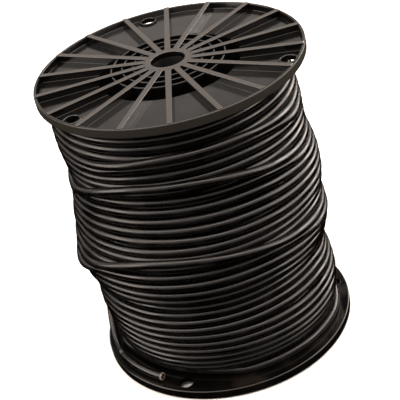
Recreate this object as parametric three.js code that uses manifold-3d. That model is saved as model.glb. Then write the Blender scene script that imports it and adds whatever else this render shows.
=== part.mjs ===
// Wire spool: two ribbed flanges on a hollow barrel, an arbor sleeve through the hubs,
// and a full winding of round jacketed cable with its two cut ends.
// Millimetres, +Z up. The spool stands on its lower flange: z = 0 is the face of that
// flange's ribs, and the spool's axis is the z axis.
import * as THREE from 'three';
import { mergeVertices } from 'three/addons/utils/BufferGeometryUtils.js';
import Module from 'manifold-3d';

const wasm = await Module();
wasm.setup();

// ---- driving dimensions ----
const FLANGE_RADIUS = 101.6;
const OVERALL_HEIGHT = 241.2;
const ARBOR_DIAMETER = 25.6;
const CABLE_DIAMETER = 6.4;
const CLEARANCE = 0.3;

// flange, from its outer face (local z = 0) to its winding face
const RIB_PROUD = 0.8;
const FLANGE_DEPTH = 8.0;
const WEB_FACE = 5.4;
const LIP_WIDTH = 2.3;
const RIM_DRAFT = 1.0;
const EDGE_ROUND = 0.8;
const OPENING_RADIUS = 52.8;
const RIM_SEGMENTS = 72;

// ribs of each flange
const RIB_COUNT = 18;
const RIB_WIDTH = 4.2;
const RIB_FLARE = 0.2;
const RIB_TRUE_WIDTH_AT = 0.8;
const RIB_ROOT = 1;
const RIB_HUB_DEPTH = 12;
const RING_RIB_RADII = [26.4, 34.5, 42.7];
const RING_RIB_WIDTH = 1.5;

// hub of each flange
const HUB_RADIUS = 18.3;
const HUB_DEPTH = 16;
const HUB_LIP = 4;
const HUB_SEGMENTS = 36;

// holes for the cable's ends
const WIRE_HOLES = 3;
const WIRE_HOLE_RADIUS = 5.5;
const WIRE_HOLE_PLACE = 91.4;
const WIRE_HOLE_COLLAR = 1.7;
const WIRE_HOLE_COLLAR_PROUD = 1.4;
const WIRE_HOLE_SEGMENTS = 16;

// barrel, with the collar of each flange that it fits over
const COLLAR_WALL = 1.8;
const COLLAR_LENGTH = 9;
const BARREL_WALL = 3;

// sleeve through both hubs
const SLEEVE_WALL = 2.2;

// turning of each flange about the spool's axis, in degrees
const UPPER_FLANGE_TURN = 95;
const LOWER_FLANGE_TURN = 1;

// outline of the winding: share of the traverse, and radius there
const WINDING_OUTLINE = [
  [0.00, 83.6],
  [0.04, 86.0],
  [0.09, 90.8],
  [0.16, 94.2],
  [0.24, 94.6],
  [0.30, 93.2],
  [0.36, 94.6],
  [0.42, 98.2],
  [0.48, 98.8],
  [0.56, 97.2],
  [0.64, 95.0],
  [0.71, 92.4],
  [0.78, 93.4],
  [0.86, 93.8],
  [0.93, 93.0],
  [0.975, 90.0],
  [1.00, 85.0],
];
const WINDING_SEGMENTS = 60;

// cable ends: angles are in degrees about the spool's axis, and the hole in the barrel for
// the start end is wider than the cable by twice its play
const CONDUCTOR_DIAMETER = 4.0;
const CONDUCTOR_SHOWS = 3;
const FINISH_FROM = 200;
const FINISH_TO = 229;
const FINISH_RADII = [95.4, 93.6];
const START_HEIGHT = 24;
const START_ANGLE = 62;
const START_LENGTH = 26;
const START_HOLE_PLAY = 0.8;
const CABLE_SEGMENTS = 12;
const FINISH_STEPS = 8;

// how far a cutting shape runs past the faces that it cuts
const CUT_PAST = 5;

const barrelInner = OPENING_RADIUS + COLLAR_WALL + CLEARANCE;
const barrelOuter = barrelInner + BARREL_WALL;
const sleeveOuter = ARBOR_DIAMETER / 2 + SLEEVE_WALL;
const windingInner = barrelOuter + CLEARANCE;
const traverseStart = FLANGE_DEPTH + CLEARANCE;
const traverse = OVERALL_HEIGHT - 2 * traverseStart;

const plastic = { color: 0x1b1918, roughness: 0.28, metalness: 0 };
const barrelPlastic = { color: 0x161515, roughness: 0.5, metalness: 0 };
const jacket = { color: 0x141312, roughness: 0.3, metalness: 0 };
const copper = { color: 0x7d4a31, roughness: 0.4, metalness: 1 };

const group = new THREE.Group();

function addPiece(name, geometry, look) {
  const mesh = new THREE.Mesh(geometry, new THREE.MeshStandardMaterial(look));
  mesh.name = name;
  group.add(mesh);
  return mesh;
}

// ---- solids ----
function toSolid(geometry) {
  const bare = geometry.clone();
  bare.deleteAttribute('normal');
  bare.deleteAttribute('uv');
  const merged = mergeVertices(bare, 1e-4);
  const mesh = new wasm.Mesh({
    numProp: 3,
    vertProperties: Float32Array.from(merged.attributes.position.array),
    triVerts: Uint32Array.from(merged.index.array),
  });
  return new wasm.Manifold(mesh);
}

function toGeometry(solid) {
  const mesh = solid.getMesh();
  const geometry = new THREE.BufferGeometry();
  geometry.setAttribute('position', new THREE.BufferAttribute(mesh.vertProperties, 3));
  geometry.setIndex(new THREE.BufferAttribute(mesh.triVerts, 1));
  geometry.computeVertexNormals();
  return geometry;
}

// A ring turned about z from a closed outline of [radius, z] corners, anticlockwise.
function turned(corners, segments) {
  const outline = [...corners, corners[0]].map(([radius, z]) => new THREE.Vector2(radius, z));
  const geometry = new THREE.LatheGeometry(outline, segments);
  geometry.rotateX(Math.PI / 2);
  return geometry;
}

function ring(inner, outer, bottom, top, segments) {
  return turned([[inner, bottom], [outer, bottom], [outer, top], [inner, top]], segments);
}

function upright(radius, bottom, top, x, y) {
  const geometry = new THREE.CylinderGeometry(radius, radius, top - bottom, WIRE_HOLE_SEGMENTS);
  geometry.rotateX(Math.PI / 2);
  geometry.translate(x, y, (bottom + top) / 2);
  return geometry;
}

// ---- flange ----
function rimAndWeb() {
  const lip = RIB_PROUD;
  const wallTop = FLANGE_RADIUS - LIP_WIDTH;
  const collarOuter = OPENING_RADIUS + COLLAR_WALL;
  return turned([
    [OPENING_RADIUS, WEB_FACE],
    [wallTop - RIM_DRAFT, WEB_FACE],
    [wallTop, lip],
    [FLANGE_RADIUS - EDGE_ROUND, lip],
    [FLANGE_RADIUS, lip + EDGE_ROUND],
    [FLANGE_RADIUS, FLANGE_DEPTH - EDGE_ROUND],
    [FLANGE_RADIUS - EDGE_ROUND, FLANGE_DEPTH],
    [collarOuter, FLANGE_DEPTH],
    [collarOuter, FLANGE_DEPTH + COLLAR_LENGTH],
    [OPENING_RADIUS, FLANGE_DEPTH + COLLAR_LENGTH],
  ], RIM_SEGMENTS);
}

function hub() {
  const bore = ARBOR_DIAMETER / 2;
  const seat = sleeveOuter + CLEARANCE;
  return turned([
    [bore, 0],
    [HUB_RADIUS, 0],
    [HUB_RADIUS, HUB_DEPTH],
    [seat, HUB_DEPTH],
    [seat, HUB_LIP],
    [bore, HUB_LIP],
  ], HUB_SEGMENTS);
}

// One rib along +x, deepest between the hub and the collar, wider at its hub end.
function rib(angle) {
  const side = new THREE.Shape();
  side.moveTo(HUB_RADIUS - RIB_ROOT, 0);
  side.lineTo(FLANGE_RADIUS - EDGE_ROUND, 0);
  side.lineTo(FLANGE_RADIUS - LIP_WIDTH, WEB_FACE + RIB_ROOT);
  side.lineTo(OPENING_RADIUS + RIB_ROOT, WEB_FACE + RIB_ROOT);
  side.lineTo(HUB_RADIUS - RIB_ROOT, RIB_HUB_DEPTH);
  const geometry = new THREE.ExtrudeGeometry(side, {
    depth: RIB_WIDTH,
    bevelEnabled: false,
    steps: 1,
  });
  geometry.translate(0, 0, -RIB_WIDTH / 2);
  geometry.rotateX(Math.PI / 2);
  const position = geometry.attributes.position;
  for (let i = 0; i < position.count; i += 1) {
    const share = position.getX(i) / FLANGE_RADIUS;
    position.setY(i, position.getY(i) * (1 + RIB_FLARE * (RIB_TRUE_WIDTH_AT - share)));
  }
  geometry.rotateZ(angle);
  return geometry;
}

function flangeGeometry() {
  let solid = toSolid(rimAndWeb()).add(toSolid(hub()));
  for (let i = 0; i < RIB_COUNT; i += 1) {
    solid = solid.add(toSolid(rib((i + 0.5) * (2 * Math.PI / RIB_COUNT))));
  }
  for (const radius of RING_RIB_RADII) {
    const half = RING_RIB_WIDTH / 2;
    const wall = ring(radius - half, radius + half, RIB_PROUD / 2, FLANGE_DEPTH, HUB_SEGMENTS);
    solid = solid.add(toSolid(wall));
  }
  for (let i = 0; i < WIRE_HOLES; i += 1) {
    const angle = i * (2 * Math.PI / WIRE_HOLES);
    const x = WIRE_HOLE_PLACE * Math.cos(angle);
    const y = WIRE_HOLE_PLACE * Math.sin(angle);
    const outer = WIRE_HOLE_RADIUS + WIRE_HOLE_COLLAR;
    const top = WEB_FACE - WIRE_HOLE_COLLAR_PROUD;
    const collar = upright(outer, top, WEB_FACE + RIB_ROOT, x, y);
    const hole = upright(WIRE_HOLE_RADIUS, -CUT_PAST, FLANGE_DEPTH + CUT_PAST, x, y);
    solid = solid.add(toSolid(collar)).subtract(toSolid(hole));
  }
  return toGeometry(solid);
}

const flange = flangeGeometry();
const lowerFlange = addPiece('lower_flange', flange, plastic);
lowerFlange.rotation.z = THREE.MathUtils.degToRad(LOWER_FLANGE_TURN);

const upperFlange = addPiece('upper_flange', flange, plastic);
upperFlange.rotation.set(Math.PI, 0, THREE.MathUtils.degToRad(UPPER_FLANGE_TURN));
upperFlange.rotation.order = 'ZYX';
upperFlange.position.z = OVERALL_HEIGHT;

// ---- barrel and sleeve ----
// A straight round bar lying radially at the cable's start, between two radii.
function startBar(radius, from, to) {
  const geometry = new THREE.CylinderGeometry(radius, radius, to - from, CABLE_SEGMENTS);
  geometry.rotateZ(-Math.PI / 2);
  geometry.translate((from + to) / 2, 0, START_HEIGHT);
  geometry.rotateZ(THREE.MathUtils.degToRad(START_ANGLE));
  return geometry;
}

function barrelGeometry() {
  const top = OVERALL_HEIGHT - traverseStart;
  const tube = ring(barrelInner, barrelOuter, traverseStart, top, RIM_SEGMENTS);
  const holeRadius = CABLE_DIAMETER / 2 + START_HOLE_PLAY;
  const hole = startBar(holeRadius, barrelInner - CUT_PAST, barrelOuter + CUT_PAST);
  return toGeometry(toSolid(tube).subtract(toSolid(hole)));
}

addPiece('barrel', barrelGeometry(), barrelPlastic);

const sleeveEnd = HUB_LIP + CLEARANCE;
addPiece(
  'arbor_sleeve',
  ring(ARBOR_DIAMETER / 2, sleeveOuter, sleeveEnd, OVERALL_HEIGHT - sleeveEnd, HUB_SEGMENTS),
  barrelPlastic,
);

// ---- cable ----
function windingGeometry() {
  const outline = WINDING_OUTLINE.map(
    ([share, radius]) => [radius, traverseStart + share * traverse],
  );
  const inner = [
    [windingInner, OVERALL_HEIGHT - traverseStart],
    [windingInner, traverseStart],
  ];
  return turned([...outline, ...inner], WINDING_SEGMENTS);
}

addPiece('cable_winding', windingGeometry(), jacket);

// The finish end lies on the lower flange beside the lowest turns.
class FinishCurve extends THREE.Curve {
  getPoint(t, target = new THREE.Vector3()) {
    const angle = THREE.MathUtils.degToRad(FINISH_FROM + t * (FINISH_TO - FINISH_FROM));
    const radius = FINISH_RADII[0] + t * (FINISH_RADII[1] - FINISH_RADII[0]);
    const z = FLANGE_DEPTH + CLEARANCE + CABLE_DIAMETER / 2;
    return target.set(radius * Math.cos(angle), radius * Math.sin(angle), z);
  }
}

function alongFinish(section) {
  return new THREE.ExtrudeGeometry(section, {
    steps: FINISH_STEPS,
    curveSegments: CABLE_SEGMENTS / 2,
    extrudePath: new FinishCurve(),
  });
}

function disc(radius) {
  const shape = new THREE.Shape();
  shape.absarc(0, 0, radius, 0, 2 * Math.PI, false);
  return shape;
}

const jacketBore = CONDUCTOR_DIAMETER / 2 + CLEARANCE;
const jacketSection = disc(CABLE_DIAMETER / 2);
const boreEdge = new THREE.Path();
boreEdge.absarc(0, 0, jacketBore, 0, 2 * Math.PI, true);
jacketSection.holes.push(boreEdge);
addPiece('cable_finish_jacket', alongFinish(jacketSection), jacket);
addPiece('cable_finish_conductor', alongFinish(disc(CONDUCTOR_DIAMETER / 2)), copper);

// The start end comes through the barrel wall into its hollow.
const startOuter = windingInner - CLEARANCE;
const startInner = startOuter - START_LENGTH;
const startJacket = toSolid(startBar(CABLE_DIAMETER / 2, startInner, startOuter))
  .subtract(toSolid(startBar(jacketBore, startInner - CUT_PAST, startOuter + CUT_PAST)));
addPiece('cable_start_jacket', toGeometry(startJacket), jacket);
addPiece(
  'cable_start_conductor',
  startBar(CONDUCTOR_DIAMETER / 2, startInner - CONDUCTOR_SHOWS, startOuter),
  copper,
);

export default group;
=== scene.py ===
"""Wire spool: two ribbed black flanges, a hollow barrel and a full winding of jacketed cable."""
import math

import bmesh
import bpy
import numpy as np
from mathutils import Matrix, Vector


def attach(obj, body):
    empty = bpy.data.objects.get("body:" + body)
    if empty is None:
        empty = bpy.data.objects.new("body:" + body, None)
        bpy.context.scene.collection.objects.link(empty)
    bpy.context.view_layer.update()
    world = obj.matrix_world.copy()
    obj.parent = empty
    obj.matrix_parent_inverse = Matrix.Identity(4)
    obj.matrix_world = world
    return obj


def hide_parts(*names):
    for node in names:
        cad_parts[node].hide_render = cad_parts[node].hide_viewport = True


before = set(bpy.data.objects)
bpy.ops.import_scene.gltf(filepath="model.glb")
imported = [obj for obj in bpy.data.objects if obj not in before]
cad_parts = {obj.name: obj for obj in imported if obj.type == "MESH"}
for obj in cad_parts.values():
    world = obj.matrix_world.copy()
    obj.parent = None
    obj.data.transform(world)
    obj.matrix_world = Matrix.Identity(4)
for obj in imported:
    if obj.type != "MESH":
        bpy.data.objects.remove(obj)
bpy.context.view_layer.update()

MM = 0.001
TAU = 2 * math.pi

# ---- sizes, in metres ----
# They are the CAD model's, but the ring ribs are 0.2 mm thinner here, and RIB_WEB_DEPTH and
# RIB_SEAM, which say where a rib's deep bar meets the web, are this scene's own.
FLANGE_RADIUS = 101.6 * MM
OVERALL_HEIGHT = 241.2 * MM
FLANGE_DEPTH = 8.0 * MM
WEB_FACE = 5.4 * MM
RIB_PROUD = 0.8 * MM
LIP_WIDTH = 2.3 * MM
RIM_DRAFT = 1.0 * MM
OPENING_RADIUS = 52.8 * MM
COLLAR_WALL = 1.8 * MM
COLLAR_LENGTH = 9.0 * MM
RIB_COUNT = 18
RIB_WIDTH = 4.2 * MM
RIB_FLARE = 0.2
RIB_TRUE_WIDTH_AT = 0.8
RIB_HUB_DEPTH = 12 * MM
RIB_WEB_DEPTH = 6.6 * MM
RIB_SEAM = OPENING_RADIUS + 0.6 * MM
RING_RIB_RADII = (26.4 * MM, 34.5 * MM, 42.7 * MM)
RING_RIB_WIDTH = 1.3 * MM
HUB_RADIUS = 18.3 * MM
HUB_DEPTH = 16.0 * MM
HUB_LIP = 4.0 * MM
ARBOR_RADIUS = 12.8 * MM
SLEEVE_RADIUS = 15.0 * MM
WIRE_HOLE_COUNT = 3
WIRE_HOLE_RADIUS = 5.5 * MM
WIRE_HOLE_PLACE = 91.4 * MM
WIRE_HOLE_COLLAR = 1.7 * MM
WIRE_HOLE_COLLAR_PROUD = 1.4 * MM
# turning of each flange about the spool's axis, in degrees
UPPER_FLANGE_TURN = 95
LOWER_FLANGE_TURN = 1
BARREL_INNER = 54.9 * MM
BARREL_OUTER = 57.9 * MM
CLEARANCE = 0.3 * MM
CABLE_RADIUS = 3.2 * MM
CONDUCTOR_RADIUS = 2.0 * MM
# angles of the cable's ends about the spool's axis, in degrees
FINISH_FROM = 200
FINISH_TO = 229
FINISH_RADII = (95.4 * MM, 93.6 * MM)
START_HEIGHT = 24 * MM
START_ANGLE = 62
START_LENGTH = 26 * MM
START_HOLE_RADIUS = 4.0 * MM
CONDUCTOR_SHOWS = 3 * MM

# ---- fineness of the meshes ----
RIM_SEGMENTS = 180
HUB_SEGMENTS = 96
RING_RIB_SEGMENTS = 144
WIRE_HOLE_SEGMENTS = 40
BARREL_SEGMENTS = 160
START_HOLE_SEGMENTS = 32
# edges that turn less than this many degrees are shaded smooth
SMOOTH_ANGLE = 35
# a cutter's outline ends this close to the axis
AXIS_GAP = 0.0001 * MM
# edges shorter than this are dropped after a cut
SLIVER = 0.002 * MM
# the wire holes are cut this much wider, and the collar's wall lines them
HOLE_LINING = 0.25 * MM

# ---- camera, fitted to both rims: angles in degrees, lens and sensor in millimetres ----
CAMERA_ELEVATION = 30.95
CAMERA_ROLL = -13.545
CAMERA_DISTANCE = 8.975 * FLANGE_RADIUS
CAMERA_LEFT = 0.5 * MM
CAMERA_DOWN = 2.7 * MM
CAMERA_LENS = 104.5
CAMERA_SENSOR = 36

# ---- stage and light ----
FLOOR_SIZE = 3.2
FLOOR_WHITE = 0.9
# the sweep behind the object and the glow in front of it: where each starts and is full,
# as the Y or Z part of the direction
SWEEP_RADIANCE = 0.85
SWEEP_BEHIND = (0.1, 0.5)
SWEEP_ABOVE_FLOOR = (0.06, 0.2)
SWEEP_BELOW_TOP = (0.44, 0.55)
SWEEP_OVER_TOP = 0.02
FRONT_RADIANCE = 0.6
FRONT_FADES = (-0.3, 0.05)
FRONT_ABOVE_FLOOR = (0.0, 0.25)
SIDE_GAIN = 1.5
LIGHT_TINT = (1.0, 0.895, 0.82)
LIGHT_AIM = (0, 0, 0.15)
# name, place, aim, size and radiance
SOFTBOXES = (
    ("overhead", (0, 0.1, 1.5), (0, 0.1, 0), (2.2, 2.1), 3.6),
    ("left_softbox", (-1.6, -0.1, 0.95), LIGHT_AIM, (1.5, 1.2), 4.5),
    ("right_softbox", (1.6, -0.1, 0.95), LIGHT_AIM, (1.5, 1.2), 4.4),
    ("right_back_softbox", (1.5, 1.05, 0.8), LIGHT_AIM, (1.0, 0.9), 8.0),
)

# ---- colours: where there are two, the surface goes between them in patches ----
FLANGE_COLOURS = ((0.0012, 0.001, 0.0009), (0.003, 0.0026, 0.0023))
BARREL_COLOURS = ((0.004, 0.0038, 0.0036), (0.008, 0.0077, 0.0074))
JACKET_COLOURS = ((0.0008, 0.0005, 0.0004), (0.0028, 0.0019, 0.0015))
COPPER_COLOURS = ((0.12, 0.05, 0.03), (0.4, 0.19, 0.11))
RUBBED_COLOUR = (0.037, 0.034, 0.031)
# painted reflection: the upper rim's outer side is coloured lighter and olive in place of the pale
# floor it would reflect
RIM_SIDE_PAINTED_REFLECTION = (0.0125, 0.0098, 0.0065)
# painted highlight: the cut end's lit rim is coloured pale
CUT_PAINTED_HIGHLIGHT = (0.17, 0.16, 0.15)
# dust colour, made lighter than dust alone as a painted reflection on the lower flange's inner face
DUST_AND_REFLECTION_COLOUR = (0.012, 0.009, 0.0072)
RUBBED_ROUGHNESS = 0.3
RIM_SIDE_ROUGHNESS = 0.5
DUST_ROUGHNESS = 0.3
# distances from a surface between which each mask fades
OUTER_FACE_FADE = (0.45 * MM, 0.2 * MM)
LOWER_FACE_FADE = (0.2 * MM, 0.6 * MM)
RIM_SIDE_FADE = (0.7 * MM, 0.1 * MM)
# width of the fade at the edge of a cut's mask
CUT_FADE = 0.5 * MM


# ---- camera ----
def make_camera():
    elevation = math.radians(CAMERA_ELEVATION)
    roll = math.radians(CAMERA_ROLL)
    back = Vector((0, -math.cos(elevation), math.sin(elevation)))
    side = Vector((1, 0, 0))
    up = back.cross(side)
    right = math.cos(roll) * side + math.sin(roll) * up
    top = -math.sin(roll) * side + math.cos(roll) * up
    aim = Vector((0, 0, OVERALL_HEIGHT / 2))
    place = aim + back * CAMERA_DISTANCE - right * CAMERA_LEFT - top * CAMERA_DOWN
    data = bpy.data.cameras.new("camera")
    data.lens = CAMERA_LENS
    data.sensor_width = CAMERA_SENSOR
    camera = bpy.data.objects.new("camera", data)
    axes = Matrix((right, top, back)).transposed().to_4x4()
    camera.matrix_world = Matrix.Translation(place) @ axes
    bpy.context.scene.collection.objects.link(camera)
    bpy.context.scene.camera = camera


# ---- materials ----
def plain_material(name):
    """A new material, with its node tree and its shader."""
    material = bpy.data.materials.new(name)
    material.use_nodes = True
    return material, material.node_tree, material.node_tree.nodes["Principled BSDF"]


def object_place(tree):
    """The X, Y and Z outputs of a surface point's place in the object's own coordinates."""
    place = tree.nodes.new("ShaderNodeTexCoord")
    parts = tree.nodes.new("ShaderNodeSeparateXYZ")
    tree.links.new(place.outputs["Object"], parts.inputs["Vector"])
    return parts.outputs


def noise(tree, scale, detail=3.0):
    """Noise in the object's own coordinates, with about scale patches in a metre."""
    place = tree.nodes.new("ShaderNodeTexCoord")
    texture = tree.nodes.new("ShaderNodeTexNoise")
    texture.inputs["Scale"].default_value = scale
    texture.inputs["Detail"].default_value = detail
    tree.links.new(place.outputs["Object"], texture.inputs["Vector"])
    return texture.outputs["Fac"]


def spread(tree, value, low, high):
    """Stretches the middle of a noise's range to go from low to high."""
    span = tree.nodes.new("ShaderNodeMapRange")
    span.inputs["From Min"].default_value = 0.3
    span.inputs["From Max"].default_value = 0.7
    span.inputs["To Min"].default_value = low
    span.inputs["To Max"].default_value = high
    tree.links.new(value, span.inputs["Value"])
    return span.outputs["Result"]


def smooth_ramp(tree, value, start, end, low, high):
    """Goes smoothly from low to high as the value goes from start to end."""
    ramp = tree.nodes.new("ShaderNodeMapRange")
    ramp.interpolation_type = "SMOOTHSTEP"
    ramp.inputs["From Min"].default_value = start
    ramp.inputs["From Max"].default_value = end
    ramp.inputs["To Min"].default_value = low
    ramp.inputs["To Max"].default_value = high
    tree.links.new(value, ramp.inputs["Value"])
    return ramp.outputs["Result"]


def blend_colours(tree, value, colours):
    """Goes from the first colour to the second as the value crosses its middle range."""
    low, high = colours
    ramp = tree.nodes.new("ShaderNodeValToRGB")
    ramp.color_ramp.elements[0].position = 0.35
    ramp.color_ramp.elements[0].color = (*low, 1)
    ramp.color_ramp.elements[1].position = 0.65
    ramp.color_ramp.elements[1].color = (*high, 1)
    tree.links.new(value, ramp.inputs["Fac"])
    return ramp.outputs["Color"]


def bumps(tree, shader, layers):
    """Adds (height value, distance) layers of bump on top of each other."""
    below = None
    for height, distance in layers:
        bump = tree.nodes.new("ShaderNodeBump")
        bump.inputs["Strength"].default_value = 1.0
        bump.inputs["Distance"].default_value = distance
        tree.links.new(height, bump.inputs["Height"])
        if below is not None:
            tree.links.new(below, bump.inputs["Normal"])
        below = bump.outputs["Normal"]
    tree.links.new(below, shader.inputs["Normal"])


def maths(tree, operation, first, second=None):
    """One maths node; the second operand is a number or another node's output."""
    made = tree.nodes.new("ShaderNodeMath")
    made.operation = operation
    tree.links.new(first, made.inputs[0])
    if isinstance(second, float):
        made.inputs[1].default_value = second
    elif second is not None:
        tree.links.new(second, made.inputs[1])
    return made.outputs["Value"]


def between(tree, mask, low, high):
    """Goes from low to high, colours or roughnesses, as the mask goes from 0 to 1."""
    mix = tree.nodes.new("ShaderNodeMix")
    tree.links.new(mask, mix.inputs["Factor"])
    colours = isinstance(high, tuple)
    mix.data_type = "RGBA" if colours else "FLOAT"
    ends = [socket for socket in mix.inputs if socket.enabled and socket.name in "AB"]
    tree.links.new(low, ends[0])
    ends[1].default_value = (*high, 1) if colours else high
    return next(socket for socket in mix.outputs if socket.enabled)


def outer_face_mask(tree):
    """1 on what stands proud of a flange's lip, the tops of the ribs and the hub."""
    half = OVERALL_HEIGHT / 2
    away = maths(tree, "ABSOLUTE", maths(tree, "SUBTRACT", object_place(tree)["Z"], half))
    start, end = (half - fade for fade in OUTER_FACE_FADE)
    return smooth_ramp(tree, away, start, end, 0.0, 1.0)


def lower_face_mask(tree):
    """1 on the lower flange's inner face, where dust from the cable settles and a painted
    reflection lightens it.
    """
    height = maths(tree, "SUBTRACT", object_place(tree)["Z"], FLANGE_DEPTH)
    return smooth_ramp(tree, maths(tree, "ABSOLUTE", height), *LOWER_FACE_FADE, 1.0, 0.0)


def upper_rim_reflection_mask(tree):
    """1 on the outer side of the upper flange's rim, where the floor's reflection is painted in as
    a lighter olive colour.
    """
    place = object_place(tree)
    flat = tree.nodes.new("ShaderNodeCombineXYZ")
    tree.links.new(place["X"], flat.inputs["X"])
    tree.links.new(place["Y"], flat.inputs["Y"])
    length = tree.nodes.new("ShaderNodeVectorMath")
    length.operation = "LENGTH"
    tree.links.new(flat.outputs["Vector"], length.inputs[0])
    start, end = (FLANGE_RADIUS - fade for fade in RIM_SIDE_FADE)
    side = smooth_ramp(tree, length.outputs["Value"], start, end, 0.0, 1.0)
    upper = maths(tree, "GREATER_THAN", place["Z"], OVERALL_HEIGHT / 2)
    return maths(tree, "MULTIPLY", side, upper)


def near_mask(tree, centre, reach):
    """1 within the given reach of a point, falling off to 0 just past it."""
    place = tree.nodes.new("ShaderNodeTexCoord")
    away = tree.nodes.new("ShaderNodeVectorMath")
    away.operation = "DISTANCE"
    tree.links.new(place.outputs["Object"], away.inputs[0])
    away.inputs[1].default_value = centre
    return smooth_ramp(tree, away.outputs["Value"], reach, reach + CUT_FADE, 1.0, 0.0)


def flange_material():
    """Gloss plastic, rubbed on its outermost faces; dust on the lower flange's inner face,
    lightened as a painted reflection; a painted reflection of the floor on the upper rim's outer
    side.
    """
    material, tree, shader = plain_material("flange_plastic")
    tint = blend_colours(tree, noise(tree, scale=40), FLANGE_COLOURS)
    shine = spread(tree, noise(tree, scale=90, detail=5), low=0.11, high=0.21)
    # dust patches that also carry a painted reflection
    dust_and_reflection = spread(tree, noise(tree, scale=35, detail=4), low=-1.2, high=0.8)
    dust_and_reflection = maths(tree, "MULTIPLY", dust_and_reflection, lower_face_mask(tree))
    tint = between(tree, dust_and_reflection, tint, DUST_AND_REFLECTION_COLOUR)
    shine = between(tree, dust_and_reflection, shine, DUST_ROUGHNESS)
    tops = outer_face_mask(tree)
    # the upper rim's side gets a painted reflection of the floor
    side = upper_rim_reflection_mask(tree)
    tint = between(tree, tops, tint, RUBBED_COLOUR)
    tint = between(tree, side, tint, RIM_SIDE_PAINTED_REFLECTION)
    shine = between(tree, tops, shine, RUBBED_ROUGHNESS)
    shine = between(tree, side, shine, RIM_SIDE_ROUGHNESS)
    tree.links.new(tint, shader.inputs["Base Color"])
    tree.links.new(shine, shader.inputs["Roughness"])
    bumps(tree, shader, [
        (noise(tree, scale=110, detail=2), 0.03 * MM),
        (noise(tree, scale=1400, detail=2), 0.002 * MM),
    ])
    return material


def barrel_material():
    """Satin plastic of the barrel and the sleeve, seen only through the openings."""
    material, tree, shader = plain_material("barrel_plastic")
    shader.inputs["Specular IOR Level"].default_value = 0.2
    tint = blend_colours(tree, noise(tree, scale=60), BARREL_COLOURS)
    shine = spread(tree, noise(tree, scale=200, detail=4), low=0.4, high=0.6)
    tree.links.new(tint, shader.inputs["Base Color"])
    tree.links.new(shine, shader.inputs["Roughness"])
    bumps(tree, shader, [(noise(tree, scale=900, detail=3), 0.02 * MM)])
    return material


def jacket_material(name="cable_jacket", cut_place=None):
    """The jacket's plastic, with a painted highlight: paler around a cut end where one is given."""
    material, tree, shader = plain_material(name)
    tint = blend_colours(tree, noise(tree, scale=30), JACKET_COLOURS)
    if cut_place is not None:
        # painted highlight around the cut end
        tint = between(tree, near_mask(tree, cut_place, CABLE_RADIUS), tint, CUT_PAINTED_HIGHLIGHT)
    shine = spread(tree, noise(tree, scale=60, detail=6), low=0.12, high=0.44)
    tree.links.new(tint, shader.inputs["Base Color"])
    tree.links.new(shine, shader.inputs["Roughness"])
    bumps(tree, shader, [
        (noise(tree, scale=90, detail=2), 0.11 * MM),
        (noise(tree, scale=1500, detail=2), 0.005 * MM),
    ])
    return material


def copper_material():
    """Bare strands, dull in patches."""
    material, tree, shader = plain_material("conductor")
    shader.inputs["Metallic"].default_value = 1.0
    tint = blend_colours(tree, noise(tree, scale=500), COPPER_COLOURS)
    shine = spread(tree, noise(tree, scale=900, detail=3), low=0.25, high=0.5)
    tree.links.new(tint, shader.inputs["Base Color"])
    tree.links.new(shine, shader.inputs["Roughness"])
    bumps(tree, shader, [(noise(tree, scale=2500, detail=2), 0.01 * MM)])
    return material


# ---- mesh helpers ----
def add_object(name, verts, faces, material):
    mesh = bpy.data.meshes.new(name)
    mesh.from_pydata([tuple(v) for v in verts], [], faces)
    mesh.update()
    mesh.shade_smooth()
    mesh.materials.append(material)
    made = bpy.data.objects.new(name, mesh)
    bpy.context.scene.collection.objects.link(made)
    return made


def arc(centre_r, centre_z, radius, start, end, steps):
    """Points of a round corner in the (radius, z) plane, with angles in degrees."""
    angles = np.radians(np.linspace(start, end, steps + 1))
    return [(centre_r + radius * math.cos(a), centre_z + radius * math.sin(a)) for a in angles]


def lathe(profile, segments, centre=(0, 0)):
    """A closed ring turned about z from a closed anticlockwise (radius, z) outline."""
    outline = np.array(profile)
    turn = np.arange(segments) * (TAU / segments)
    radius, height = outline[:, 0], outline[:, 1]
    x = centre[0] + np.cos(turn)[:, None] * radius
    y = centre[1] + np.sin(turn)[:, None] * radius
    z = np.broadcast_to(height, x.shape)
    verts = np.stack([x, y, z], -1).reshape(-1, 3)
    count = len(outline)
    faces = []
    for i in range(segments):
        for j in range(count):
            a = i * count + j
            b = i * count + (j + 1) % count
            c = ((i + 1) % segments) * count + (j + 1) % count
            d = ((i + 1) % segments) * count + j
            faces.append((a, d, c, b))
    return verts, faces


def sweep(sections):
    """A closed solid through a list of equal-length closed sections, with flat ends."""
    sections = np.array(sections)
    stations, count = sections.shape[:2]
    verts = sections.reshape(-1, 3)
    faces = []
    for i in range(stations - 1):
        for j in range(count):
            a = i * count + j
            b = i * count + (j + 1) % count
            faces.append((a, b, b + count, a + count))
    faces.append(tuple(reversed(range(count))))
    faces.append(tuple((stations - 1) * count + j for j in range(count)))
    return verts, faces


def join(parts):
    """Puts several (verts, faces) parts into one."""
    verts = []
    faces = []
    for part_verts, part_faces in parts:
        offset = len(verts)
        verts.extend(part_verts)
        faces.extend(tuple(i + offset for i in face) for face in part_faces)
    return verts, faces


def smooth_by_angle(made):
    bpy.context.view_layer.objects.active = made
    for other in bpy.context.selected_objects:
        other.select_set(False)
    made.select_set(True)
    bpy.ops.object.shade_smooth_by_angle(angle=math.radians(SMOOTH_ANGLE))
    made.select_set(False)


def flatten_normals(made):
    """Keeps flat faces flat in the shading, next to their small rounds."""
    flat = made.modifiers.new("flat", "WEIGHTED_NORMAL")
    flat.keep_sharp = True
    flat.weight = 100
    apply_modifiers(made)


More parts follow.
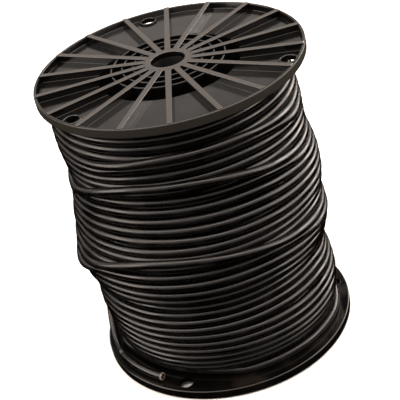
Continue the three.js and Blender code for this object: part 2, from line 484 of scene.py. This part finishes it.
# ---- flanges, drawn with local z = 0 at the outer face ----
def rim_profile():
    """Outline of the rim, the web and the collar that the barrel fits over."""
    lip = RIB_PROUD
    wall = FLANGE_RADIUS - LIP_WIDTH
    root = wall - RIM_DRAFT
    outer = FLANGE_RADIUS
    collar = OPENING_RADIUS + COLLAR_WALL
    collar_end = FLANGE_DEPTH + COLLAR_LENGTH
    opening = 0.9 * MM
    foot = 0.4 * MM
    inside = 0.5 * MM
    front = 0.9 * MM
    back = 1.1 * MM
    fillet = 0.6 * MM
    end = 0.4 * MM
    profile = []
    profile += arc(OPENING_RADIUS + opening, WEB_FACE + opening, opening, 180, 270, 4)
    profile += arc(root - foot, WEB_FACE - foot, foot, 90, 14, 4)
    profile += arc(wall + inside, lip + inside, inside, 190, 270, 3)
    profile += arc(outer - front, lip + front, front, 270, 360, 4)
    profile += arc(outer - back, FLANGE_DEPTH - back, back, 0, 90, 4)
    profile += arc(collar + fillet, FLANGE_DEPTH + fillet, fillet, 270, 180, 3)
    profile += arc(collar - end, collar_end - end, end, 0, 90, 2)
    profile += [(OPENING_RADIUS, collar_end)]
    return profile


def hub_profile():
    corner = 0.7 * MM
    seat = SLEEVE_RADIUS + CLEARANCE
    profile = arc(ARBOR_RADIUS + corner, corner, corner, 180, 270, 4)
    profile += arc(HUB_RADIUS - corner, corner, corner, 270, 360, 4)
    profile += [(HUB_RADIUS, HUB_DEPTH), (seat, HUB_DEPTH)]
    profile += [(seat, HUB_LIP), (ARBOR_RADIUS, HUB_LIP)]
    return profile


def rib_half_width(place):
    """Half a rib's width at a radius: its true width at 0.8 of the flange's, wider inwards."""
    return RIB_WIDTH / 2 * (1 + RIB_FLARE * (RIB_TRUE_WIDTH_AT - place / FLANGE_RADIUS))


def rib(angle):
    """A rib from hub to rim: a deep bar across the open middle, then a low one on the web."""
    edge = 0.55 * MM
    under_edge = 0.8 * MM
    fillet = 0.3 * MM
    end_drop = 0.45 * MM
    bar_places = (HUB_RADIUS - 1 * MM, 30 * MM, 42 * MM, RIB_SEAM)
    web_places = (RIB_SEAM + 0.2 * MM, 72 * MM, 96 * MM, 100.2 * MM, 100.7 * MM)
    sides = []
    for place in bar_places:
        share = (place - HUB_RADIUS) / (OPENING_RADIUS - HUB_RADIUS)
        depth = RIB_HUB_DEPTH + (RIB_WEB_DEPTH - RIB_HUB_DEPTH) * min(max(share, 0), 1)
        half = rib_half_width(place)
        side = [(half * 0.5, depth)]
        side += arc(half - under_edge, depth - under_edge, under_edge, 90, 0, 4)
        side += arc(half - edge, edge, edge, 0, -90, 4)
        sides.append((place, side))
    for place in web_places:
        drop = end_drop if place == web_places[-1] else 0.0
        half = rib_half_width(place) - drop * 0.5
        side = [(half + fillet, WEB_FACE + 0.6 * MM)]
        side += arc(half + fillet, WEB_FACE - fillet, fillet, 90, 180, 4)
        side += arc(half - edge, edge + drop, edge, 0, -90, 4)
        sides.append((place, side))
    stations = []
    for place, side in sides:
        outline = side + [(-y, z) for y, z in reversed(side)]
        stations.append([(place, y, z) for y, z in outline])
    return turned_part(sweep(stations), angle)


def turned_part(part, angle):
    verts, faces = part
    c, s = math.cos(angle), math.sin(angle)
    turn = np.array([[c, -s, 0], [s, c, 0], [0, 0, 1]])
    return np.array(verts) @ turn.T, faces


def ring_rib_profile(radius):
    half = RING_RIB_WIDTH / 2
    edge = 0.3 * MM
    low = RIB_PROUD + edge
    top = arc(radius - half + edge, low, edge, 180, 270, 3)
    top += arc(radius + half - edge, low, edge, 270, 360, 3)
    return top + [(radius + half * 1.2, FLANGE_DEPTH), (radius - half * 1.2, FLANGE_DEPTH)]


def wire_hole_places():
    for i in range(WIRE_HOLE_COUNT):
        angle = i * TAU / WIRE_HOLE_COUNT
        yield WIRE_HOLE_PLACE * math.cos(angle), WIRE_HOLE_PLACE * math.sin(angle)


def wire_hole_collar(centre):
    """The raised ring around a wire hole, with the hole's wall."""
    inner = WIRE_HOLE_RADIUS
    outer = inner + WIRE_HOLE_COLLAR
    top = WEB_FACE - WIRE_HOLE_COLLAR_PROUD
    edge = 0.6 * MM
    flare = 0.3 * MM
    profile = arc(inner + edge, top + edge, edge, 180, 270, 4)
    profile += arc(outer - edge, top + edge, edge, 270, 360, 4)
    profile += [(outer + flare, WEB_FACE + flare), (outer, FLANGE_DEPTH - edge)]
    profile += arc(inner + flare, FLANGE_DEPTH - 0.25 * MM, flare, 90, 180, 2)
    return lathe(profile, WIRE_HOLE_SEGMENTS, centre)


def pin(radius, low, high, segments, centre=(0, 0)):
    """A round cutter along z."""
    outline = [(AXIS_GAP, low), (radius, low), (radius, high), (AXIS_GAP, high)]
    return lathe(outline, segments, centre)


def subtract(made, verts, faces):
    """Cuts a solid out of a piece, and drops the slivers that the cut leaves."""
    cutter = add_object("cutter", verts, faces, made.data.materials[0])
    cut = made.modifiers.new("cut", "BOOLEAN")
    cut.operation = "DIFFERENCE"
    cut.solver = "EXACT"
    cut.object = cutter
    apply_modifiers(made)
    bpy.data.objects.remove(cutter)
    built = bmesh.new()
    built.from_mesh(made.data)
    bmesh.ops.dissolve_degenerate(built, dist=SLIVER, edges=built.edges)
    built.to_mesh(made.data)
    built.free()


def apply_modifiers(made):
    depsgraph = bpy.context.evaluated_depsgraph_get()
    depsgraph.update()
    mesh = bpy.data.meshes.new_from_object(made.evaluated_get(depsgraph))
    made.modifiers.clear()
    made.data = mesh


def make_flange(name, cad_node, place, material):
    """A whole flange, made with its outer face down and then put in place."""
    verts, faces = lathe(rim_profile(), RIM_SEGMENTS)
    rim = add_object(name, verts, faces, material)
    for centre in wire_hole_places():
        cut = WIRE_HOLE_RADIUS + HOLE_LINING
        subtract(rim, *pin(cut, -5 * MM, 15 * MM, WIRE_HOLE_SEGMENTS, centre))
    parts = [lathe(hub_profile(), HUB_SEGMENTS)]
    parts += [lathe(ring_rib_profile(radius), RING_RIB_SEGMENTS) for radius in RING_RIB_RADII]
    parts += [rib((i + 0.5) * TAU / RIB_COUNT) for i in range(RIB_COUNT)]
    parts += [wire_hole_collar(centre) for centre in wire_hole_places()]
    verts, faces = join(parts)
    rest = add_object("rest", verts, faces, material)
    built = bmesh.new()
    built.from_mesh(rim.data)
    built.from_mesh(rest.data)
    bmesh.ops.recalc_face_normals(built, faces=built.faces)
    bmesh.ops.transform(built, matrix=place, verts=built.verts)
    built.to_mesh(rim.data)
    built.free()
    bpy.data.objects.remove(rest)
    smooth_by_angle(rim)
    flatten_normals(rim)
    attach(rim, "root")
    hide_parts(cad_node)


# ---- barrel and sleeve ----
def make_tube(name, cad_node, inner, outer, low, segments, material):
    """A tube standing between the two flanges, from low up to as far below the top."""
    high = OVERALL_HEIGHT - low
    edge = 0.4 * MM
    profile = arc(inner + edge, low + edge, edge, 180, 270, 2)
    profile += arc(outer - edge, low + edge, edge, 270, 360, 2)
    profile += arc(outer - edge, high - edge, edge, 0, 90, 2)
    profile += arc(inner + edge, high - edge, edge, 90, 180, 2)
    verts, faces = lathe(profile, segments)
    made = add_object(name, verts, faces, material)
    smooth_by_angle(made)
    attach(made, "root")
    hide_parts(cad_node)
    return made


def drill_start_hole(tube):
    """Cuts the hole in the barrel that the start end comes through."""
    verts, faces = pin(START_HOLE_RADIUS, -10 * MM, 10 * MM, START_HOLE_SEGMENTS)
    along_x = Matrix.Rotation(math.pi / 2, 4, "Y")
    out = Matrix.Translation((BARREL_OUTER, 0, START_HEIGHT))
    turn = Matrix.Rotation(math.radians(START_ANGLE), 4, "Z")
    subtract(tube, [turn @ out @ along_x @ Vector(v) for v in verts], faces)
    smooth_by_angle(tube)


# ---- the cable's lay ----
# points of the path in one turn, and the height of one cell of the surface it is laid on
STEPS = 240
CELL = 0.25 * MM
SEED = 11
# room for the under layer and the outer one below the outline
TWO_LAYERS = 12.4 * MM
TIGHT_PITCH = 6.5 * MM
TIGHT_WOBBLE = 0.01
LOOSE_PITCH = 6.4 * MM
LOOSE_WOBBLE = 0.17
LEAST_GAP = 2.03 * CABLE_RADIUS
# lengths of the waves in the pitch, in turns
WAVE_LENGTHS = (0.45, 0.9, 1.7, 3.1, 5.3)
# share of its lag that a lane makes up in each turn
CATCH_UP = 0.2
# a layer is full when its lane comes this close to the last height that fits
LAYER_END = 0.5 * MM
# a taut cable bridges dips of about this many steps, in this many rounds
BRIDGE_SPAN = 5
BRIDGE_ROUNDS = 3
# softening of the outline, in cells, and of lifts and paths, in steps
OUTLINE_BLUR = 12
LIFT_BLUR = 8
CORE_BLUR = 8
PATH_BLUR = 2
# a core layer needs this share of the cable's radius free above its middle
CORE_FIT = 0.9
CORE_LAYERS = 4
CORE_LAYER_STEP = 5.6 * MM
# outline of the wound cable on the two sides: height and radius, in millimetres
LEFT_OUTLINE = (
    (8, 83.5), (16, 86.5), (25, 90.5), (36, 93.2), (50, 94.6), (62, 96.6), (75, 95), (86, 96.6),
    (96, 101.6), (108, 103.4), (118, 101.6), (126, 98.2), (134, 98), (142, 96.6), (152, 95),
    (163, 93), (173, 92), (186, 93.2), (200, 95.4), (214, 95.6), (225, 93.4), (233, 89),
)
RIGHT_OUTLINE = (
    (8, 84), (16, 89), (25, 93.6), (36, 95.2), (50, 94), (62, 91.4), (75, 89.8), (84, 91),
    (92, 95), (102, 97.5), (110, 96), (118, 93.8), (125, 95.6), (134, 97.6), (150, 97),
    (160, 94.6), (172, 91.4), (183, 91.4), (195, 91.4), (210, 89.8), (224, 87.6), (233, 84.5),
)
FRONT_DIP = 6.5 * MM
FRONT_DIP_HEIGHT = 16 * MM
# places where the outermost turns climb back over the ones already laid: the angles where the
# climb starts and ends and the fall starts and ends, in degrees, then the lane's height where
# the fall ends and the rise, in millimetres
CLIMBS = (
    (215, 262, 284, 338, 204, 8),
    (188, 244, 262, 340, 166, 15),
    (190, 248, 254, 340, 108, 15),
    (10, 166, 190, 345, 58, 34),
    (40, 90, 110, 170, 136, 14),
    (60, 120, 140, 165, 44, 12),
)
# the same angles, and the rise, for the last part turn, which comes down onto the flange
LAST_CLIMB_ANGLES = (10, 100, 150, 194)
LAST_CLIMB = 28 * MM
# part of a turn in which the outermost turn settles to the finish end's radius
SETTLE = 1 / 9
# how closely each layer is meshed: every how many steps, and the sides of its tube
CORE_STRIDE = 5
CORE_SIDES = 8
UNDER_STRIDE = 3
UNDER_SIDES = 12
OUTER_STRIDE = 2
OUTER_SIDES = 16
OUTER_PARTS = 3


def along(table, z):
    """The radius at a height, from a table of heights and radii in millimetres."""
    heights = [row[0] * MM for row in table]
    values = [row[1] * MM for row in table]
    return np.interp(z, heights, values)


def smooth_step(value):
    value = np.clip(value, 0, 1)
    return value * value * (3 - 2 * value)


class Waves:
    """A smooth random wave along the cable, made of a few sines."""

    def __init__(self, random, lengths):
        self.parts = [(random.uniform(0.7, 1.3), TAU / length * random.uniform(0.8, 1.25),
                       random.uniform(0, TAU)) for length in lengths]

    def __call__(self, turn):
        total = sum(size * np.sin(rate * turn + phase) for size, rate, phase in self.parts)
        return total / math.sqrt(len(self.parts))


def soften(values, span):
    """Blurs a run of values over about the given number of steps."""
    reach = int(3 * span) + 1
    offsets = np.arange(-reach, reach + 1)
    kernel = np.exp(-0.5 * (offsets / span) ** 2)
    kernel /= kernel.sum()
    return np.convolve(np.pad(values, reach, mode="edge"), kernel, mode="valid")


def bridge(radius):
    """What a taut cable does over a dip: it bridges it."""
    for _ in range(BRIDGE_ROUNDS):
        radius = np.maximum(radius, soften(radius, BRIDGE_SPAN))
    return radius


class Winding:
    """Lays the cable turn by turn on what is already there."""

    def __init__(self):
        self.random = np.random.default_rng(SEED)
        self.low = FLANGE_DEPTH + CLEARANCE + CABLE_RADIUS
        self.high = OVERALL_HEIGHT - self.low
        self.cells = int((OVERALL_HEIGHT - 2 * FLANGE_DEPTH) / CELL)
        self.angle = np.arange(STEPS) * (TAU / STEPS)
        height = FLANGE_DEPTH + (np.arange(self.cells) + 0.5) * CELL
        self.surface = self.outline(height[None, :], self.angle[:, None]) - TWO_LAYERS
        self.starts = {}

    def outline(self, height, angle):
        """The winding's radius: the two sides' outlines, mixed by angle, with a dip in front."""
        left = soften(along(LEFT_OUTLINE, height[0]), OUTLINE_BLUR)[None, :]
        right = soften(along(RIGHT_OUTLINE, height[0]), OUTLINE_BLUR)[None, :]
        share = smooth_step(0.5 - 0.5 * np.cos(angle))
        front = np.maximum(-np.sin(angle), 0) ** 2
        dip = FRONT_DIP * np.exp(-((height - FLANGE_DEPTH) / FRONT_DIP_HEIGHT) ** 2)
        return left * share + right * (1 - share) - front * dip

    def reach(self, rows, z):
        """Cells near each point, and how far out the cable's round side stands there."""
        half = int(CABLE_RADIUS / CELL)
        cell = (z - FLANGE_DEPTH) / CELL - 0.5
        column = cell.round().astype(int)[:, None] + np.arange(-half, half + 1)[None, :]
        aside = (column - cell[:, None]) * CELL
        arch = np.sqrt(np.maximum(CABLE_RADIUS ** 2 - aside ** 2, 0))
        return rows[:, None] % STEPS, np.clip(column, 0, self.cells - 1), arch

    def lay(self, z):
        """Rests a length of cable at the heights z on the surface, one turn at a time."""
        ahead = STEPS // 8
        done = np.zeros(0)
        for start in range(0, len(z), STEPS):
            rows = np.arange(start, min(start + STEPS + ahead, len(z)))
            row, column, arch = self.reach(rows, z[rows])
            rest = (self.surface[row, column] + arch).max(1)
            before = done[-ahead:]
            radius = bridge(np.concatenate([before, rest]))[len(before):][:STEPS]
            rows = rows[:STEPS]
            row, column, arch = self.reach(rows, z[rows])
            np.maximum.at(self.surface, (row, column), radius[:, None] + arch)
            done = np.concatenate([done, radius])
        return done

    def lanes(self, first, last, stop, pitch, wobble, climbs):
        """The heights of one layer's turns, from first to last, with the climbs over others."""
        sign = 1 if last > first else -1
        waves = Waves(self.random, WAVE_LENGTHS)
        degrees = np.degrees(self.angle)
        share = self.angle / TAU

        def gap(count):
            return np.maximum(pitch * (1 + wobble * waves(count + share)), LEAST_GAP)

        lane = first + sign * gap(1)[0] * share
        turns = []
        climbing = []
        count = 0
        while True:
            for climb in climbs:
                _, _, _, end, height, _ = climb
                there = lane[int(end / 360 * STEPS)]
                if abs(there - height * MM) <= pitch / 2 and climb not in climbing:
                    climbing.append(climb)
                    self.starts[climb] = 360 * count
            lift = np.zeros(STEPS)
            for climb in climbing:
                start, top, fall, end, _, rise = climb
                place = 360 * count + degrees - self.starts[climb]
                up = smooth_step((place - start) / (top - start))
                down = 1 - smooth_step((place - fall) / (end - fall))
                lift = np.maximum(lift, rise * MM * up * down)
            turns.append(np.clip(lane - sign * lift, self.low, self.high))
            step = int(stop / 360 * STEPS)
            if sign * (last - lane[step]) < LAYER_END:
                turns[-1] = turns[-1][:step + 1]
                break
            held = soften(smooth_step(lift / (2 * CABLE_RADIUS)), LIFT_BLUR)
            line = lane.mean() + sign * pitch * (share - 0.5)
            catch_up = CATCH_UP * np.maximum(sign * (line - lane), 0)
            lane = lane + sign * (gap(count + 1) * (1 - held) + catch_up)
            count += 1
        return np.concatenate(turns)


def core_path():
    """The inner layers: plain helices, each as long as the outline leaves room for."""
    winding = Winding()
    room = winding.surface.min(0)
    height = FLANGE_DEPTH + (np.arange(winding.cells) + 0.5) * CELL
    radii = []
    heights = []
    for layer in range(CORE_LAYERS):
        radius = BARREL_OUTER + CLEARANCE + CABLE_RADIUS + layer * CORE_LAYER_STEP
        free = height[room >= radius + CABLE_RADIUS * CORE_FIT]
        low = max(free[0], winding.low)
        high = min(free[-1], winding.high)
        steps = int((high - low) / TIGHT_PITCH * STEPS)
        rise = np.linspace(low, high, steps)
        heights.append(rise if layer % 2 == 0 else rise[::-1])
        radii.append(np.full(steps, radius))
    radius = soften(np.concatenate(radii), CORE_BLUR)
    z = soften(np.concatenate(heights), CORE_BLUR)
    return np.arange(len(z)) * (TAU / STEPS), radius, z


def climb_last_turns(z):
    """The last part turn climbs over the lowest turns and comes down onto the flange."""
    steps = int(FINISH_FROM / 360 * STEPS) + 1
    start, top, fall, end = LAST_CLIMB_ANGLES
    degrees = np.arange(steps) * (360 / STEPS)
    up = smooth_step((degrees - start) / (top - start))
    down = 1 - smooth_step((degrees - fall) / (end - fall))
    z = z.copy()
    z[-steps:] += LAST_CLIMB * (up * down)
    return z


def wind():
    """The two outer layers, as turn angle, radius and height: the under one and the outer one."""
    winding = Winding()
    low, high = winding.low, winding.high
    under = winding.lanes(low, high, 0, TIGHT_PITCH, TIGHT_WOBBLE, ())
    under_radius = winding.lay(under)
    outer = winding.lanes(high, low, FINISH_FROM, LOOSE_PITCH, LOOSE_WOBBLE, CLIMBS)
    outer = climb_last_turns(outer)
    outer_radius = winding.lay(outer)
    finish = FINISH_RADII[0]
    share = smooth_step((np.arange(len(outer)) - len(outer) + 1) / (STEPS * SETTLE) + 1)
    outer_radius = outer_radius + (finish - outer_radius) * share
    paths = []
    for z, radius in ((under, under_radius), (outer, outer_radius)):
        turn = np.arange(len(z)) * (TAU / STEPS)
        paths.append((turn, soften(radius, PATH_BLUR), soften(z, PATH_BLUR)))
    return paths


def cable_mesh(turn, radius, z, sides):
    """A round tube along the cable's path, closed at both ends."""
    centre = np.stack([radius * np.cos(turn), radius * np.sin(turn), z], -1)
    ahead = np.gradient(centre, axis=0)
    ahead /= np.linalg.norm(ahead, axis=1)[:, None]
    outward = np.stack([np.cos(turn), np.sin(turn), np.zeros(len(turn))], -1)
    outward -= ahead * (outward * ahead).sum(1)[:, None]
    outward /= np.linalg.norm(outward, axis=1)[:, None]
    across = np.cross(ahead, outward)
    spin = np.arange(sides) * (TAU / sides)
    ring = np.cos(spin)[:, None] * outward[:, None, :] + np.sin(spin)[:, None] * across[:, None, :]
    verts = (centre[:, None, :] + CABLE_RADIUS * ring).reshape(-1, 3)
    i = np.arange(len(turn) - 1)[:, None]
    j = np.arange(sides)[None, :]
    a = i * sides + j
    b = i * sides + (j + 1) % sides
    faces = np.stack([a, b, b + sides, a + sides], -1).reshape(-1, 4).tolist()
    faces.append(list(range(sides - 1, -1, -1)))
    faces.append(list(range((len(turn) - 1) * sides, len(turn) * sides)))
    return verts, faces


def add_cable(name, path, stretch, sides, material):
    """One piece of the winding: a stretch of a path, as a tube."""
    turn, radius, z = (values[stretch] for values in path)
    verts, faces = cable_mesh(turn, radius, z, sides)
    made = add_object(name, verts, faces, material)
    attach(made, "root")
    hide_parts("cable_winding")


def make_winding(material):
    under, outer = wind()
    core_stretch = slice(None, None, CORE_STRIDE)
    under_stretch = slice(None, None, UNDER_STRIDE)
    add_cable("winding_core", core_path(), core_stretch, CORE_SIDES, material)
    add_cable("winding_under_layer", under, under_stretch, UNDER_SIDES, material)
    strides, spare = divmod(len(outer[0]) - 1, OUTER_STRIDE)
    edges = np.linspace(0, strides, OUTER_PARTS + 1).astype(int) * OUTER_STRIDE + spare
    for number in range(OUTER_PARTS):
        stretch = slice(edges[number], edges[number + 1] + 1, OUTER_STRIDE)
        add_cable(f"winding_outer_{number + 1}", outer, stretch, OUTER_SIDES, material)


# ---- the cable's two ends ----
END_STEPS = 24
END_SIDES = 32
CUT_ROUND = 0.35 * MM
STRANDS_AROUND = 6
STRAND_SIDES = 10
STRAND_RADIUS = CONDUCTOR_RADIUS / 3
# strands keep clear of each other, are cut a little unevenly and twist by this many turns
STRAND_FILL = 0.98
STRAND_STAGGER = 0.2 * MM
STRAND_TWIST = 0.8


def finish_line(share):
    """The middle of the finish end, as share goes from 0 at the winding to 1 at the cut."""
    angle = math.radians(FINISH_FROM + share * (FINISH_TO - FINISH_FROM))
    radius = FINISH_RADII[0] + share * (FINISH_RADII[1] - FINISH_RADII[0])
    height = FLANGE_DEPTH + CLEARANCE + CABLE_RADIUS
    return Vector((radius * math.cos(angle), radius * math.sin(angle), height))


def start_line(share):
    """The middle of the start end, from the barrel's wall inwards."""
    radius = BARREL_OUTER - share * START_LENGTH
    angle = math.radians(START_ANGLE)
    return Vector((radius * math.cos(angle), radius * math.sin(angle), START_HEIGHT))


def bent_solid(line, outline, sides, aside=(0, 0), turns=0.0):
    """Rings bent along a line, from (share, radius) pairs; they may lie aside and twist."""
    rings = []
    for share, radius in outline:
        centre = line(share)
        ahead = (line(share + 0.001) - line(share - 0.001)).normalized()
        up = (Vector((0, 0, 1)) - ahead * ahead.z).normalized()
        across = ahead.cross(up)
        c = math.cos(TAU * turns * share)
        s = math.sin(TAU * turns * share)
        centre = centre + across * (aside[0] * c - aside[1] * s)
        centre = centre + up * (aside[0] * s + aside[1] * c)
        spin = [TAU * i / sides for i in range(sides)]
        rings.append([centre + (across * math.cos(a) + up * math.sin(a)) * radius for a in spin])
    return rings


def closed_ring(rings):
    """Joins the rings of a hollow outline, the last one to the first."""
    count = len(rings)
    sides = len(rings[0])
    verts = [point for ring in rings for point in ring]
    faces = []
    for i in range(count):
        for j in range(sides):
            a = i * sides + j
            b = i * sides + (j + 1) % sides
            c = (i + 1) % count * sides + (j + 1) % sides
            d = (i + 1) % count * sides + j
            faces.append((a, b, c, d))
    return verts, faces


def jacket_end(line, length):
    """The jacket's bored tube, with its cut end rounded."""
    near = CUT_ROUND / length
    steps = [i / END_STEPS for i in range(1, END_STEPS)]
    bore = CONDUCTOR_RADIUS + CLEARANCE
    outside = [(0.0, CABLE_RADIUS)]
    outside += [(share, CABLE_RADIUS) for share in steps]
    outside += [(1 - near, CABLE_RADIUS), (1 - near * 0.3, CABLE_RADIUS - 0.1 * MM)]
    outside += [(1.0, CABLE_RADIUS - CUT_ROUND)]
    inside = [(1.0, bore), *[(share, bore) for share in reversed(steps)], (0.0, bore)]
    return closed_ring(bent_solid(line, outside + inside, END_SIDES))


def strands_end(line, length, shows):
    """The conductor's strands, one in the middle of the others, past the cut by shows."""
    near = CUT_ROUND / length
    fill = STRAND_RADIUS * STRAND_FILL
    parts = []
    for number in range(STRANDS_AROUND + 1):
        angle = TAU * number / STRANDS_AROUND
        out = 0 if number == STRANDS_AROUND else 2 * STRAND_RADIUS
        aside = (out * math.cos(angle), out * math.sin(angle))
        last = 1 + shows / length - (number % 3) * STRAND_STAGGER / length
        outline = [(0.0, fill)]
        outline += [(i / END_STEPS * last, fill) for i in range(1, END_STEPS)]
        outline += [(last - 0.2 * near, STRAND_RADIUS * 0.9), (last, STRAND_RADIUS * 0.6)]
        parts.append(sweep(bent_solid(line, outline, STRAND_SIDES, aside, STRAND_TWIST)))
    return join(parts)


def make_end(name, line, length, shows, jacket, copper):
    """One cut end: the jacket's tube and the twisted strands in it."""
    tube = add_object(name + "_jacket_end", *jacket_end(line, length), jacket)
    strands = add_object(name + "_conductor_strands", *strands_end(line, length, shows), copper)
    for made, kind, slot in ((tube, "jacket", "cable_jacket"), (strands, "conductor", "conductor")):
        tidy_normals(made)
        smooth_by_angle(made)
        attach(made, "root")
        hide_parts(f"cable_{name}_{kind}")


def tidy_normals(made):
    built = bmesh.new()
    built.from_mesh(made.data)
    bmesh.ops.recalc_face_normals(built, faces=built.faces)
    built.to_mesh(made.data)
    built.free()


# ---- stage ----
def make_stage():
    bpy.ops.mesh.primitive_plane_add(size=FLOOR_SIZE, location=(0, 0, 0))
    floor = bpy.context.object
    floor.name = "floor"
    material, _, shader = plain_material("pale_floor")
    shader.inputs["Base Color"].default_value = (FLOOR_WHITE, FLOOR_WHITE, FLOOR_WHITE, 1)
    shader.inputs["Roughness"].default_value = 0.9
    shader.inputs["Specular IOR Level"].default_value = 0.0
    floor.data.materials.append(material)
    floor.visible_glossy = False


def area_light(name, place, aim, size, radiance):
    data = bpy.data.lights.new(name, "AREA")
    data.shape = "RECTANGLE"
    data.size, data.size_y = size
    data.energy = radiance * math.pi * size[0] * size[1]
    data.color = LIGHT_TINT
    light = bpy.data.objects.new(name, data)
    light.location = place
    look = Vector(aim) - Vector(place)
    light.rotation_euler = look.to_track_quat("-Z", "Y").to_euler()
    light.visible_camera = False
    bpy.context.scene.collection.objects.link(light)


def make_world():
    """White for the camera; the object sees a sweep low behind it and a dim glow in front."""
    world = bpy.data.worlds.new("studio")
    bpy.context.scene.world = world
    world.use_nodes = True
    tree = world.node_tree
    direction = tree.nodes.new("ShaderNodeTexCoord")
    parts = tree.nodes.new("ShaderNodeSeparateXYZ")
    tree.links.new(direction.outputs["Generated"], parts.inputs["Vector"])
    x, y, z = (parts.outputs[axis] for axis in "XYZ")
    behind = smooth_ramp(tree, y, *SWEEP_BEHIND, 0.0, SWEEP_RADIANCE)
    above_floor = smooth_ramp(tree, z, *SWEEP_ABOVE_FLOOR, 0.0, 1.0)
    below_top = smooth_ramp(tree, z, *SWEEP_BELOW_TOP, 1.0, SWEEP_OVER_TOP)
    sweep_light = maths(tree, "MULTIPLY", behind, above_floor)
    sweep_light = maths(tree, "MULTIPLY", sweep_light, below_top)
    in_front = smooth_ramp(tree, y, *FRONT_FADES, FRONT_RADIANCE, 0.0)
    upper = smooth_ramp(tree, z, *FRONT_ABOVE_FLOOR, 0.0, 1.0)
    gain = maths(tree, "MULTIPLY", maths(tree, "MULTIPLY", x, x), SIDE_GAIN)
    gain = maths(tree, "ADD", gain, 1.0)
    front_light = maths(tree, "MULTIPLY", maths(tree, "MULTIPLY", in_front, upper), gain)
    tinted = tree.nodes.new("ShaderNodeVectorMath")
    tinted.operation = "SCALE"
    tinted.inputs[0].default_value = LIGHT_TINT
    tree.links.new(maths(tree, "ADD", sweep_light, front_light), tinted.inputs["Scale"])
    path = tree.nodes.new("ShaderNodeLightPath")
    seen = between(tree, path.outputs["Is Camera Ray"], tinted.outputs["Vector"], (1.0, 1.0, 1.0))
    tree.links.new(seen, tree.nodes["Background"].inputs["Color"])


def make_lights():
    make_world()
    for softbox in SOFTBOXES:
        area_light(*softbox)
    bpy.context.scene.view_settings.view_transform = "Standard"


def main():
    make_camera()
    make_stage()
    make_lights()
    plastic = flange_material()
    barrel = barrel_material()
    jacket = jacket_material()
    lower = Matrix.Rotation(math.radians(LOWER_FLANGE_TURN), 4, "Z")
    upper = (
        Matrix.Translation((0, 0, OVERALL_HEIGHT))
        @ Matrix.Rotation(math.radians(UPPER_FLANGE_TURN), 4, "Z")
        @ Matrix.Rotation(math.pi, 4, "X")
    )
    make_flange("lower_flange_moulding", "lower_flange", lower, plastic)
    make_flange("upper_flange_moulding", "upper_flange", upper, plastic)
    tube = make_tube("barrel_tube", "barrel", BARREL_INNER, BARREL_OUTER,
                     FLANGE_DEPTH + CLEARANCE, BARREL_SEGMENTS, barrel)
    drill_start_hole(tube)
    make_tube("sleeve_tube", "arbor_sleeve", ARBOR_RADIUS, SLEEVE_RADIUS,
              HUB_LIP + CLEARANCE, HUB_SEGMENTS, barrel)
    make_winding(jacket)
    cut_jacket_painted_highlight = jacket_material("cut_jacket_painted_highlight", finish_line(1.0))
    copper = copper_material()
    finish_length = sum(FINISH_RADII) / 2 * math.radians(FINISH_TO - FINISH_FROM)
    make_end("finish", finish_line, finish_length, 0.0, cut_jacket_painted_highlight, copper)
    make_end("start", start_line, START_LENGTH, CONDUCTOR_SHOWS, jacket, copper)


main()
